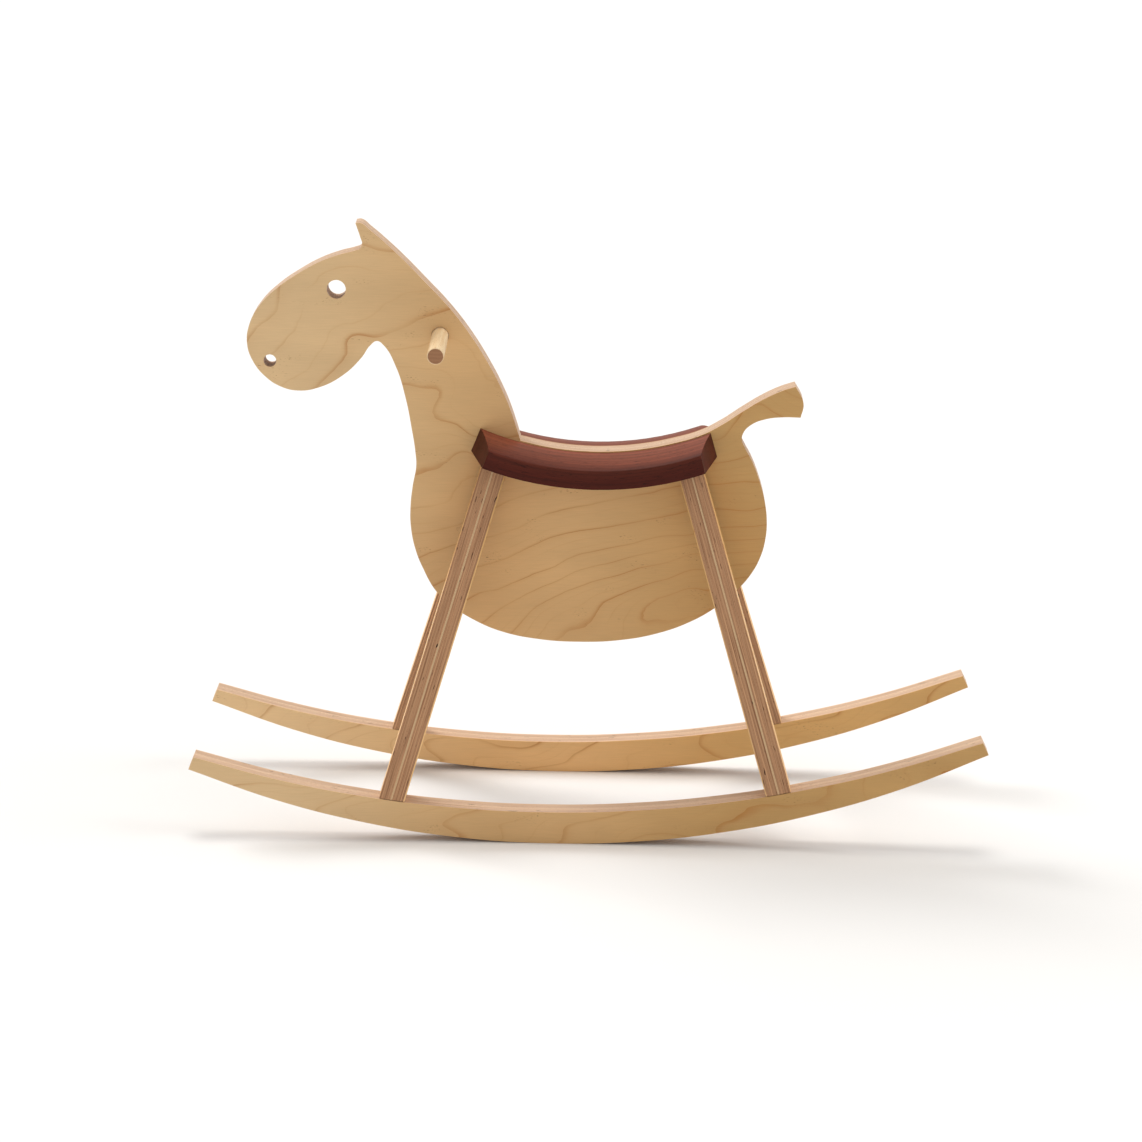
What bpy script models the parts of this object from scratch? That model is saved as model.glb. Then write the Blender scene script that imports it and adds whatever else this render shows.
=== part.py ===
"""A child's rocking horse.

A flat plywood board cut as the horse's outline stands upright in the middle. A hardwood seat
half is dowelled to each face of the board. Four splayed legs carry the seat halves and stand on
two plywood rockers, and a dowel through the neck is the rider's handle.

World axes: the horse looks along -X, its left side is -Y, and +Z is up. All parts are drawn in
the horse's own frame, where X = 0 and Z = 0 is the lowest point of the rockers' arc, and hang
under one empty. The empty then rolls the horse on its rockers until it balances.
"""
import math

import bmesh
import bpy
from mathutils import Matrix, Vector

MM = 0.001

# ---- Stock and fits ----
BOARD = 24.0 * MM              # thickness of the plywood: two 12 mm boards glued together
FIT_GAP = 0.3 * MM             # left between every two pieces that touch
SEGMENTS = 32                  # sides of a round piece that shows
HIDDEN_SEGMENTS = 16           # sides of a hidden dowel and of its socket

# ---- Rockers ----
ROCKER_RADIUS = 924.0 * MM     # the rolling edge
ROCKER_SPACING = 216.0 * MM    # from the middle of one rocker to the middle of the other
ROCKER_FRONT_ANGLE = 22.9      # degrees of arc in front of the lowest point
ROCKER_REAR_ANGLE = 25.5       # degrees of arc behind it
ROCKER_MID_HEIGHT = 31.0 * MM  # depth of the wood at the lowest point
ROCKER_END_HEIGHT = 13.0 * MM  # depth of the wood at both ends

# ---- Saddle and seat ----
SADDLE_X = 30.5 * MM           # centre of the arc that the saddle and both seat halves follow
SADDLE_Z = 644.5 * MM
SADDLE_RADIUS = 287.0 * MM     # the board's own edge
SADDLE_FRONT_ANGLE = 15.5      # degrees of that arc in front of its centre
SADDLE_REAR_ANGLE = 19.5       # degrees behind it
SEAT_SINK = 1.0 * MM           # how far the seat's inner edge lies below the board's edge
SEAT_THICKNESS = 24.0 * MM
SEAT_TOP_WIDTH = 48.0 * MM     # from the board's face to the top outer edge
SEAT_FOOT_WIDTH = 50.0 * MM    # the same at the underside
SEAT_CROWN = 6.3 * MM          # how far the top falls away towards the outer edge
SEAT_EDGE_ROUND = 5.0 * MM     # rounding of the top outer edge
SEAT_FRONT_ANGLE = 23.5        # degrees of seat in front of the saddle's centre
SEAT_REAR_ANGLE = 21.3         # degrees behind it
SEAT_FRONT_RAKE = 22.3         # how far the end cuts lean from upright, in degrees
SEAT_REAR_RAKE = 15.3
SEAT_END_PLAN = 15.0           # how far the end cuts turn in plan, in degrees

# ---- Legs ----
LEG_WIDTH = 24.0 * MM          # across the plies, front to back
FRONT_FOOT_X = -167.2 * MM     # middle of the foot on the rocker
FRONT_HEAD_X = -69.9 * MM      # middle of the head under the seat
REAR_FOOT_X = 200.1 * MM
REAR_HEAD_X = 115.4 * MM

# ---- Dowels ----
HANDLE_DIAMETER = 16.0 * MM
HANDLE_LENGTH = 210.0 * MM
HANDLE_CHAMFER = 1.0 * MM
HANDLE_X = -122.0 * MM
HANDLE_Z = 470.0 * MM
DOWEL_DIAMETER = 8.0 * MM
DOWEL_CHAMFER = 0.8 * MM
DOWEL_END_GAP = 1.0 * MM       # glue room past each end of a dowel
LEG_DOWEL_IN_LEG = 22.0 * MM
LEG_DOWEL_IN_SEAT = 14.0 * MM
LEG_DOWEL_IN_ROCKER = 15.0 * MM
SEAT_DOWEL_DEPTH = 20.0 * MM   # into each seat half
SEAT_DOWEL_ANGLES = {"front": -9.0, "rear": 9.0}

# ---- Holes in the head ----
EYE_DIAMETER = 18.0 * MM
EYE_X, EYE_Z = -219.7 * MM, 514.4 * MM
NOSTRIL_DIAMETER = 12.0 * MM
NOSTRIL_X, NOSTRIL_Z = -283.9 * MM, 445.5 * MM

# ---- Smoothness of curves ----
OUTLINE_STEPS = 7              # straight pieces between two knots of an outline
HOLE_STEPS = 10                # the same on a quarter of a hole
SADDLE_KNOTS = 6               # knots along the saddle
ROCKER_KNOTS = 9               # spaces between knots along each edge of a rocker
SEAT_STEPS = 26                # straight pieces along a seat half
CROWN_STEPS = 7                # straight pieces across its top
EDGE_ROUND_STEPS = 4           # straight pieces across its rounded edge

# ---- Cutting ----
WELD = 0.01 * MM               # points nearer than this are one point
ON_PLANE = 0.001 * MM          # points nearer than this to a cut lie on it
ON_EDGE = 0.2 * MM             # how closely the seat's top outer edge is found by its radius
SEAT_SPARE_ANGLE = 10.0        # degrees of seat made past each end, for the end cuts
LEG_SPARE = 1.2                # a leg's bar before its ends are cut, as a share of the leg
SMOOTH_ANGLE = math.radians(30)
CHAMFER_ANGLE = math.radians(60)  # only edges sharper than this are chamfered
FLAT_ANGLE = math.radians(0.1)    # faces that meet at less than this are one flat face

SIDES = {"left": -1, "right": 1}
ENDS = ("front", "rear")

BIRCH = ((0.58, 0.37, 0.19), 0.55)
EDGE_PLY = ((0.56, 0.36, 0.22), 0.60)
WALNUT = ((0.13, 0.045, 0.028), 0.42)
BEECH = ((0.66, 0.46, 0.28), 0.50)

# The board's outline in the horse's own frame, as knots in millimetres, in the order in which
# a saw would follow it from the back of the neck forwards, down and round to the tail.
EAR = [(-175.0, 560.6), (-187.0, 570.9), (-196.0, 577.8)]
EAR_TIP = [(-200.6, 577.6)]
FOREHEAD = [(-196.0, 563.5), (-194.6, 558.0), (-196.6, 553.6), (-202.0, 551.3), (-215.0, 548.0),
            (-235.0, 540.7), (-255.0, 529.8), (-275.0, 516.0), (-292.0, 499.5)]
MUZZLE = [(-302.5, 481.0), (-305.2, 462.0), (-300.0, 445.0), (-289.0, 430.5), (-275.0, 420.8),
          (-258.0, 416.5), (-238.0, 419.5), (-215.0, 431.3), (-197.0, 448.3)]
THROAT = [(-188.0, 460.8), (-182.0, 464.7), (-176.0, 461.0), (-164.5, 440.5)]
CHEST = [(-155.5, 410.0), (-150.0, 380.0), (-146.6, 356.0), (-146.0, 343.0), (-149.5, 324.0),
         (-152.0, 302.0), (-151.8, 283.0), (-147.8, 261.0), (-140.5, 241.5), (-128.0, 218.5)]
BELLY = [(-113.0, 204.0), (-91.0, 189.6), (-65.0, 178.4), (-30.0, 171.0), (10.0, 168.3),
         (50.0, 170.2), (85.0, 176.9), (115.0, 187.8), (140.0, 202.2), (160.0, 219.0)]
RUMP = [(175.0, 236.5), (184.0, 254.0), (188.6, 272.0), (189.6, 291.0), (187.0, 311.0),
        (181.5, 331.0), (174.5, 349.0)]
TAIL_UNDERSIDE = [(168.0, 361.2), (164.8, 368.8), (166.3, 376.6), (173.5, 384.2), (186.0, 389.4),
                  (202.0, 391.6)]
TAIL_LOWER_CORNER = [(220.4, 391.4)]
TAIL_END = [(223.0, 405.0)]
TAIL_UPPER_CORNER = [(215.3, 421.3)]
TAIL_TOP = [(203.0, 417.4), (185.0, 409.0), (165.0, 396.8), (145.0, 383.6)]
NECK_BACK = [(-55.3, 397.0), (-63.5, 417.3), (-75.0, 440.3), (-95.0, 473.0), (-115.0, 499.0),
             (-135.0, 520.6), (-155.0, 541.6)]


# ---- Scene ----

def clear_scene():
    for item in list(bpy.data.objects):
        bpy.data.objects.remove(item, do_unlink=True)


def new_collection(name):
    collection = bpy.data.collections.new(name)
    bpy.context.scene.collection.children.link(collection)
    return collection


clear_scene()
HORSE = new_collection("rocking_horse")
CUTTERS = new_collection("cutters")
FRAME = bpy.data.objects.new("horse_frame", None)
HORSE.objects.link(FRAME)


def new_material(name, finish):
    colour, roughness = finish
    material = bpy.data.materials.new(name)
    material.use_nodes = True
    shader = material.node_tree.nodes["Principled BSDF"]
    shader.inputs["Base Color"].default_value = (*colour, 1.0)
    shader.inputs["Roughness"].default_value = roughness
    shader.inputs["Metallic"].default_value = 0.0
    return material


def place(item, collection, finish=None):
    """Hang an object under the horse's frame and give it its material."""
    for owner in list(item.users_collection):
        owner.objects.unlink(item)
    collection.objects.link(item)
    item.parent = FRAME
    if finish is not None:
        item.data.materials.clear()
        item.data.materials.append(new_material(item.name + "_finish", finish))
    return item


def object_from_bmesh(name, shape):
    mesh = bpy.data.meshes.new(name)
    shape.to_mesh(mesh)
    shape.free()
    return bpy.data.objects.new(name, mesh)


# ---- Geometry helpers ----

def on_arc(centre_x, centre_z, radius, degrees):
    """A point below an arc's centre, turned from straight down towards +X."""
    angle = math.radians(degrees)
    return centre_x + radius * math.sin(angle), centre_z - radius * math.cos(angle)


def height_on_arc(centre_x, centre_z, radius, x):
    return centre_z - math.sqrt(radius ** 2 - (x - centre_x) ** 2)


def circle_through(first, second, third):
    """Centre and radius of the circle through three points."""
    ax, az = first
    bx, bz = second
    cx, cz = third
    turn = 2.0 * (ax * (bz - cz) + bx * (cz - az) + cx * (az - bz))
    a_sq, b_sq, c_sq = ax * ax + az * az, bx * bx + bz * bz, cx * cx + cz * cz
    x = (a_sq * (bz - cz) + b_sq * (cz - az) + c_sq * (az - bz)) / turn
    z = (a_sq * (cx - bx) + b_sq * (ax - cx) + c_sq * (bx - ax)) / turn
    return x, z, math.hypot(ax - x, az - z)


def rocker_top_arc():
    """Centre and radius of the arc along the rockers' upper edge."""
    inner = ROCKER_RADIUS - ROCKER_END_HEIGHT
    front = on_arc(0.0, ROCKER_RADIUS, inner, -ROCKER_FRONT_ANGLE)
    rear = on_arc(0.0, ROCKER_RADIUS, inner, ROCKER_REAR_ANGLE)
    return circle_through(front, (0.0, ROCKER_MID_HEIGHT), rear)


# ---- Flat pieces cut from board ----

def outline_curve(name, knots, holes=()):
    """A 2D curve in the XZ plane, as thick as the board, with round holes."""
    curve = bpy.data.curves.new(name, "CURVE")
    curve.dimensions = "2D"
    curve.fill_mode = "BOTH"
    curve.extrude = BOARD / 2
    add_outline(curve, knots)
    for x, z, diameter in holes:
        add_hole(curve, x, z, diameter)
    item = bpy.data.objects.new(name, curve)
    item.rotation_euler = (math.radians(90), 0.0, 0.0)
    return item


def add_outline(curve, knots):
    """A closed spline through the knots; a knot is x, z and its handle type."""
    spline = curve.splines.new("BEZIER")
    spline.bezier_points.add(len(knots) - 1)
    spline.use_cyclic_u = True
    spline.resolution_u = OUTLINE_STEPS
    for point, (x, z, handle) in zip(spline.bezier_points, knots):
        point.co = (x, z, 0.0)
        point.handle_left_type = handle
        point.handle_right_type = handle


def add_hole(curve, x, z, diameter):
    """A round hole: four knots, with the handle length that makes a circle."""
    radius = diameter / 2
    reach = radius * math.tan(math.radians(90) / 4) * 4 / 3
    spline = curve.splines.new("BEZIER")
    spline.bezier_points.add(3)
    spline.use_cyclic_u = True
    spline.resolution_u = HOLE_STEPS
    for index, point in enumerate(spline.bezier_points):
        angle = math.radians(90) * index
        outward = Vector((math.cos(angle), math.sin(angle), 0.0))
        along = Vector((-outward.y, outward.x, 0.0))
        point.handle_left_type = point.handle_right_type = "FREE"
        point.co = Vector((x, z, 0.0)) + outward * radius
        point.handle_left = point.co - along * reach
        point.handle_right = point.co + along * reach


def smooth(points):
    return [(x, z, "AUTO") for x, z in points]


def corner(points):
    return [(x, z, "VECTOR") for x, z in points]


def in_metres(points):
    return [(x * MM, z * MM) for x, z in points]


def saddle_point(degrees):
    return on_arc(SADDLE_X, SADDLE_Z, SADDLE_RADIUS, degrees)


def body_knots():
    front, rear = -SADDLE_FRONT_ANGLE, SADDLE_REAR_ANGLE
    saddle = [saddle_point(rear + (front - rear) * step / SADDLE_KNOTS)
              for step in range(SADDLE_KNOTS)]
    return (smooth(in_metres(EAR)) + corner(in_metres(EAR_TIP))
            + smooth(in_metres(FOREHEAD + MUZZLE + THROAT + CHEST + BELLY + RUMP))
            + smooth(in_metres(TAIL_UNDERSIDE)) + corner(in_metres(TAIL_LOWER_CORNER))
            + smooth(in_metres(TAIL_END)) + corner(in_metres(TAIL_UPPER_CORNER))
            + smooth(in_metres(TAIL_TOP)) + smooth(saddle)
            + corner([saddle_point(front)]) + smooth(in_metres(NECK_BACK)))


def seat_dowel_place(end):
    """Where a seat dowel crosses the board: half way through the seat's thickness."""
    radius = SADDLE_RADIUS + SEAT_SINK + SEAT_THICKNESS / 2
    return on_arc(SADDLE_X, SADDLE_Z, radius, SEAT_DOWEL_ANGLES[end])


def make_body_board():
    holes = [(EYE_X, EYE_Z, EYE_DIAMETER),
             (NOSTRIL_X, NOSTRIL_Z, NOSTRIL_DIAMETER),
             (HANDLE_X, HANDLE_Z, HANDLE_DIAMETER + 2 * FIT_GAP)]
    for end in SEAT_DOWEL_ANGLES:
        holes.append((*seat_dowel_place(end), DOWEL_DIAMETER + 2 * FIT_GAP))
    place(outline_curve("body_board", body_knots(), holes), HORSE, BIRCH)


def mesh_from_curve(item):
    """The same object as a mesh with its caps welded on, so that it can be cut."""
    bpy.context.view_layer.update()
    shape = bmesh.new()
    mesh = bpy.data.meshes.new_from_object(item.evaluated_get(bpy.context.evaluated_depsgraph_get()))
    shape.from_mesh(mesh)
    bmesh.ops.remove_doubles(shape, verts=shape.verts, dist=WELD)
    shape.to_mesh(mesh)
    shape.free()
    solid = bpy.data.objects.new(item.name, mesh)
    solid.matrix_world = item.matrix_world.copy()
    name = item.name
    bpy.data.objects.remove(item, do_unlink=True)
    solid.name = name
    return solid


def rocker_knots():
    """The rolling edge from front to rear, then the upper edge back to the front."""
    shares = [step / ROCKER_KNOTS for step in range(ROCKER_KNOTS + 1)]
    total = ROCKER_FRONT_ANGLE + ROCKER_REAR_ANGLE
    lower = [on_arc(0.0, ROCKER_RADIUS, ROCKER_RADIUS, total * share - ROCKER_FRONT_ANGLE)
             for share in shares]
    inner = ROCKER_RADIUS - ROCKER_END_HEIGHT
    front_top = on_arc(0.0, ROCKER_RADIUS, inner, -ROCKER_FRONT_ANGLE)
    rear_top = on_arc(0.0, ROCKER_RADIUS, inner, ROCKER_REAR_ANGLE)
    centre_x, centre_z, radius = rocker_top_arc()
    first = math.degrees(math.asin((rear_top[0] - centre_x) / radius))
    last = math.degrees(math.asin((front_top[0] - centre_x) / radius))
    upper = [on_arc(centre_x, centre_z, radius, first + (last - first) * share)
             for share in shares]
    knots = []
    for edge in (lower, upper):
        knots += corner(edge[:1]) + smooth(edge[1:-1]) + corner(edge[-1:])
    return knots


def make_rocker(side):
    curve = outline_curve("rocker_" + side, rocker_knots())
    curve.location.y = SIDES[side] * ROCKER_SPACING / 2
    HORSE.objects.link(curve)
    place(mesh_from_curve(curve), HORSE, BIRCH)


# ---- Seat ----

def seat_profile(side):
    """One seat half's section at the bottom of the arc: crowned top, flat underside."""
    face = BOARD / 2 + FIT_GAP
    top = SADDLE_RADIUS + SEAT_SINK
    points = []
    for step in range(CROWN_STEPS + 1):
        share = step / CROWN_STEPS
        points.append((face + share * SEAT_TOP_WIDTH, top + SEAT_CROWN * share ** 2))
    points.append((face + SEAT_FOOT_WIDTH, top + SEAT_THICKNESS))
    points.append((face, top + SEAT_THICKNESS))
    return [Vector((SADDLE_X, SIDES[side] * y, SADDLE_Z - radius)) for y, radius in points]


def trim(shape, point, normal):
    """Cut away what lies past a plane and close the cut."""
    geometry = shape.verts[:] + shape.edges[:] + shape.faces[:]
    bmesh.ops.bisect_plane(shape, geom=geometry, dist=ON_PLANE, plane_co=point,
                           plane_no=normal, clear_outer=True)
    open_edges = [edge for edge in shape.edges if edge.is_boundary]
    bmesh.ops.holes_fill(shape, edges=open_edges, sides=0)
    bmesh.ops.remove_doubles(shape, verts=shape.verts, dist=WELD)


def seat_end_normal(side, rake, forward):
    """Outward normal of an end cut, leaning by its rake and turned in plan."""
    lean, plan = math.radians(rake), math.radians(SEAT_END_PLAN)
    normal = Vector((forward * math.cos(lean), SIDES[side] * math.tan(plan), math.sin(lean)))
    return normal.normalized()


def make_seat_half(side):
    """Turn the section about the saddle's axis, past both ends, then cut the ends."""
    shape = bmesh.new()
    ring = [shape.verts.new(point) for point in seat_profile(side)]
    section = shape.faces.new(ring)
    centre = Vector((SADDLE_X, 0.0, SADDLE_Z))
    axis = Vector((0.0, 1.0, 0.0))
    start = Matrix.Rotation(math.radians(SEAT_FRONT_ANGLE + SEAT_SPARE_ANGLE), 3, axis)
    bmesh.ops.rotate(shape, verts=ring, cent=centre, matrix=start)
    sweep = math.radians(SEAT_FRONT_ANGLE + SEAT_REAR_ANGLE + 2 * SEAT_SPARE_ANGLE)
    bmesh.ops.spin(shape, geom=ring + list(section.edges) + [section], cent=centre, axis=axis,
                   angle=-sweep, steps=SEAT_STEPS, use_merge=False, use_duplicate=False)
    bmesh.ops.recalc_face_normals(shape, faces=shape.faces)
    top_radius = SADDLE_RADIUS + SEAT_SINK
    ends = ((-SEAT_FRONT_ANGLE, SEAT_FRONT_RAKE, -1), (SEAT_REAR_ANGLE, SEAT_REAR_RAKE, 1))
    for angle, rake, forward in ends:
        x, z = on_arc(SADDLE_X, SADDLE_Z, top_radius, angle)
        corner_point = Vector((x, SIDES[side] * BOARD / 2, z))
        trim(shape, corner_point, seat_end_normal(side, rake, forward))
    round_top_edge(shape, side)
    bmesh.ops.dissolve_limit(shape, angle_limit=FLAT_ANGLE, verts=shape.verts, edges=shape.edges)
    bmesh.ops.recalc_face_normals(shape, faces=shape.faces)
    item = object_from_bmesh("seat_" + side, shape)
    item.data.shade_smooth()
    item.data.set_sharp_from_angle(angle=SMOOTH_ANGLE)
    place(item, HORSE, WALNUT)


def round_top_edge(shape, side):
    """Round the long top outer edge."""
    reach = BOARD / 2 + FIT_GAP + SEAT_TOP_WIDTH
    radius = SADDLE_RADIUS + SEAT_SINK + SEAT_CROWN
    edges = [edge for edge in shape.edges if all(
        abs(vert.co.y * SIDES[side] - reach) < WELD
        and abs(math.hypot(vert.co.x - SADDLE_X, vert.co.z - SADDLE_Z) - radius) < ON_EDGE
        for vert in edge.verts)]
    bmesh.ops.bevel(shape, geom=edges, offset=SEAT_EDGE_ROUND, offset_type="OFFSET",
                    affect="EDGES", segments=EDGE_ROUND_STEPS, profile=0.5, material=-1, clamp_overlap=True)


# ---- Legs ----

def leg_line(end, side):
    """Middle of a leg's foot on the rocker and of its head under the seat."""
    foot_x = FRONT_FOOT_X if end == "front" else REAR_FOOT_X
    head_x = FRONT_HEAD_X if end == "front" else REAR_HEAD_X
    foot_z = height_on_arc(*rocker_top_arc(), foot_x)
    underside = SADDLE_RADIUS + SEAT_SINK + SEAT_THICKNESS
    head_z = height_on_arc(SADDLE_X, SADDLE_Z, underside, head_x)
    head_y = BOARD / 2 + FIT_GAP + BOARD / 2
    foot = Vector((foot_x, SIDES[side] * ROCKER_SPACING / 2, foot_z))
    head = Vector((head_x, SIDES[side] * head_y, head_z))
    return foot, head


def radial(point, centre_x, centre_z):
    """Unit vector from a point of an arc to the arc's centre."""
    return Vector((centre_x - point.x, 0.0, centre_z - point.z)).normalized()


def make_leg(end, side):
    """A square bar, leaned both ways, then cut to the rocker, the seat and the board."""
    foot, head = leg_line(end, side)
    reach = head - foot
    rake = math.atan2(reach.x, reach.z)
    shape = bmesh.new()
    bmesh.ops.create_cube(shape, size=1.0)
    lean = Matrix(((LEG_WIDTH / math.cos(rake), 0.0, reach.x * LEG_SPARE),
                   (0.0, BOARD, reach.y * LEG_SPARE),
                   (0.0, 0.0, reach.z * LEG_SPARE)))
    bmesh.ops.transform(shape, matrix=lean.to_4x4(), verts=shape.verts)
    bmesh.ops.translate(shape, vec=(foot + head) / 2, verts=shape.verts)
    rocker_x, rocker_z, _ = rocker_top_arc()
    up_from_rocker = radial(foot, rocker_x, rocker_z)
    up_to_saddle = radial(head, SADDLE_X, SADDLE_Z)
    trim(shape, foot + up_from_rocker * FIT_GAP, -up_from_rocker)
    trim(shape, head - up_to_saddle * FIT_GAP, up_to_saddle)
    inward = Vector((0.0, -SIDES[side], 0.0))
    trim(shape, inward * -(BOARD / 2 + FIT_GAP), inward)
    trim(shape, inward * -(ROCKER_SPACING / 2 + BOARD / 2), -inward)
    bmesh.ops.recalc_face_normals(shape, faces=shape.faces)
    place(object_from_bmesh(f"leg_{end}_{side}", shape), HORSE, EDGE_PLY)


# ---- Dowels and their sockets ----

def round_bar(name, diameter, length, middle, direction, segments):
    shape = bmesh.new()
    bmesh.ops.create_cone(shape, cap_ends=True, segments=segments, radius1=diameter / 2,
                          radius2=diameter / 2, depth=length)
    item = object_from_bmesh(name, shape)
    item.location = middle
    turn = Vector((0.0, 0.0, 1.0)).rotation_difference(direction)
    item.rotation_euler = turn.to_euler()
    return item


def chamfer(item, width):
    modifier = item.modifiers.new("end_chamfer", "BEVEL")
    modifier.width = width
    modifier.segments = 1
    modifier.limit_method = "ANGLE"
    modifier.angle_limit = CHAMFER_ANGLE


def cut_from(node, cutter):
    modifier = bpy.data.objects[node].modifiers.new("cut_" + cutter.name, "BOOLEAN")
    modifier.operation = "DIFFERENCE"
    modifier.solver = "EXACT"
    modifier.object = cutter


def make_dowel(name, start, stop, nodes):
    """A dowel from start to stop, and its socket in each of the nodes."""
    direction = (stop - start).normalized()
    length = (stop - start).length
    middle = (start + stop) / 2
    dowel = round_bar(name, DOWEL_DIAMETER, length, middle, direction, HIDDEN_SEGMENTS)
    chamfer(place(dowel, HORSE, BEECH), DOWEL_CHAMFER)
    socket = round_bar(name + "_socket", DOWEL_DIAMETER + 2 * FIT_GAP,
                       length + 2 * DOWEL_END_GAP, middle, direction, HIDDEN_SEGMENTS)
    place(socket, CUTTERS)
    socket.hide_render = True
    socket.display_type = "WIRE"
    for node in nodes:
        cut_from(node, socket)


def make_leg_dowels(end, side):
    foot, head = leg_line(end, side)
    up = (head - foot).normalized()
    leg = f"leg_{end}_{side}"
    make_dowel(f"leg_foot_dowel_{end}_{side}", foot - up * LEG_DOWEL_IN_ROCKER,
               foot + up * LEG_DOWEL_IN_LEG, (leg, "rocker_" + side))
    make_dowel(f"leg_head_dowel_{end}_{side}", head - up * LEG_DOWEL_IN_LEG,
               head + up * LEG_DOWEL_IN_SEAT, (leg, "seat_" + side))


def make_seat_dowel(end):
    x, z = seat_dowel_place(end)
    reach = BOARD / 2 + FIT_GAP + SEAT_DOWEL_DEPTH
    make_dowel(f"seat_dowel_{end}", Vector((x, -reach, z)), Vector((x, reach, z)),
               ("seat_left", "seat_right"))


def make_handle():
    """The dowel through the neck; the rider holds one end in each hand."""
    handle = round_bar("handle_dowel", HANDLE_DIAMETER, HANDLE_LENGTH,
                       Vector((HANDLE_X, 0.0, HANDLE_Z)), Vector((0.0, 1.0, 0.0)), SEGMENTS)
    chamfer(place(handle, HORSE, BEECH), HANDLE_CHAMFER)
    handle.data.shade_smooth()
    handle.data.set_sharp_from_angle(angle=SMOOTH_ANGLE)


# ---- Standing pose ----

def evaluated_triangles():
    """Every part's triangles in world space, as three corners each."""
    bpy.context.view_layer.update()
    graph = bpy.context.evaluated_depsgraph_get()
    for item in HORSE.objects:
        if item.type == "EMPTY":
            continue
        solid = item.evaluated_get(graph)
        mesh = solid.to_mesh()
        mesh.calc_loop_triangles()
        points = [solid.matrix_world @ vert.co for vert in mesh.vertices]
        for triangle in mesh.loop_triangles:
            yield [points[index] for index in triangle.vertices]
        solid.to_mesh_clear()


def centre_of_mass():
    """Sum the signed tetrahedra between the origin and every triangle."""
    volume, moment = 0.0, Vector()
    for a, b, c in evaluated_triangles():
        part = a.dot(b.cross(c)) / 6
        volume += part
        moment += (a + b + c) * part / 4
    return moment / volume


def stand_on_floor():
    """Roll the horse on its rockers until it balances, and centre its box over the origin."""
    balance = centre_of_mass()
    tilt = math.atan2(balance.x, ROCKER_RADIUS - balance.z)
    centre = Vector((0.0, 0.0, ROCKER_RADIUS))
    roll = (Matrix.Translation(centre) @ Matrix.Rotation(tilt, 4, "Y")
            @ Matrix.Translation(-centre))
    FRAME.matrix_world = roll
    corners = [point for triangle in evaluated_triangles() for point in triangle]
    middle_x = (min(p.x for p in corners) + max(p.x for p in corners)) / 2
    lowest = min(p.z for p in corners)
    FRAME.matrix_world = Matrix.Translation((-middle_x, 0.0, -lowest)) @ roll


def main():
    make_body_board()
    for side in SIDES:
        make_seat_half(side)
        make_rocker(side)
        for end in ENDS:
            make_leg(end, side)
    for end in SEAT_DOWEL_ANGLES:
        make_seat_dowel(end)
    for side in SIDES:
        for end in ENDS:
            make_leg_dowels(end, side)
    make_handle()
    stand_on_floor()


main()
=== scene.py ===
# %% [markdown]
# # A child's rocking horse
# The horse is six kinds of wooden piece: a board cut as its outline, two seat halves, four legs,
# two rockers, a handle and ten hidden dowels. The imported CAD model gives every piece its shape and
# place. This script gives each one the edges and the finish that the real one has. It starts by
# loading that frame, and everything after it reads its sizes from there.
# %% Load the CAD frame
import math

import bmesh
import bpy
import numpy as np
from mathutils import Matrix, Vector


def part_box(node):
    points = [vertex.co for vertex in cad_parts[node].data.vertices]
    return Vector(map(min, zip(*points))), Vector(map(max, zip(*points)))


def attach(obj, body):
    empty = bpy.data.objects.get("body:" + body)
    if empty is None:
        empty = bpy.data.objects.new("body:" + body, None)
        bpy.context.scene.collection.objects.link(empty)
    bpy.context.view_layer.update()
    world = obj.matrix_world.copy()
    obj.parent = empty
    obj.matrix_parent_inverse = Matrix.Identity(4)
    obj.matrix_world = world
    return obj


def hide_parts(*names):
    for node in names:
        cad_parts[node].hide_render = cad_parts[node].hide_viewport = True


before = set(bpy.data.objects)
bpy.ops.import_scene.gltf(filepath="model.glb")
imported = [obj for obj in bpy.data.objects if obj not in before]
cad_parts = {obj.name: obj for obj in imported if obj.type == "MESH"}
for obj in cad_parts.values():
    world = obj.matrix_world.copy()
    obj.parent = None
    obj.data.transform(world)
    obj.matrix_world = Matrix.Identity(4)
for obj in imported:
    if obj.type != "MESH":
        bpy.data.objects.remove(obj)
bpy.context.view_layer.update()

MM = 0.001
SIDES = {"left": -1, "right": 1}
print("CAD nodes:", len(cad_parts))

# %% [markdown]
# ## The camera
# A long lens from a few metres away keeps the two rockers nearly parallel and the horse's outline
# true. The horse stands rolled back a little on its rockers, where it balances. The camera's place
# is given for the horse standing level, so the same small roll is applied to it.
# %% Camera
LENS, SENSOR_WIDTH = 118.06, 36.0        # mm
VIEW_DEPTH = 500.0                       # metres, past the far edge of the floor
CAMERA_PLACE = (45.0, -3487.0, 1200.5)   # mm, with the horse level
CAMERA_PITCH, CAMERA_YAW = 15.46, -0.71  # degrees below the horizon, and to the right
BALANCE_ROLL = -0.8716                   # degrees that the standing horse rolls about Y
BALANCE_SHIFT = (-17.88, 0.0, 0.13)      # mm that the roll moves its lowest point


def balanced():
    """The move from the level horse to the horse as it stands."""
    roll = Matrix.Rotation(math.radians(BALANCE_ROLL), 4, "Y")
    return Matrix.Translation(Vector(BALANCE_SHIFT) * MM) @ roll


def add_camera():
    data = bpy.data.cameras.new("studio_camera")
    data.lens = LENS
    data.sensor_width = SENSOR_WIDTH
    data.clip_end = VIEW_DEPTH
    camera = bpy.data.objects.new("studio_camera", data)
    bpy.context.scene.collection.objects.link(camera)
    aim = (Matrix.Rotation(math.radians(-CAMERA_YAW), 4, "Z")
           @ Matrix.Rotation(math.radians(90 - CAMERA_PITCH), 4, "X"))
    camera.matrix_world = balanced() @ Matrix.Translation(Vector(CAMERA_PLACE) * MM) @ aim
    bpy.context.scene.camera = camera
    return camera


camera = add_camera()
print("camera stands at, mm:", [round(v / MM) for v in camera.matrix_world.translation])

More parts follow.
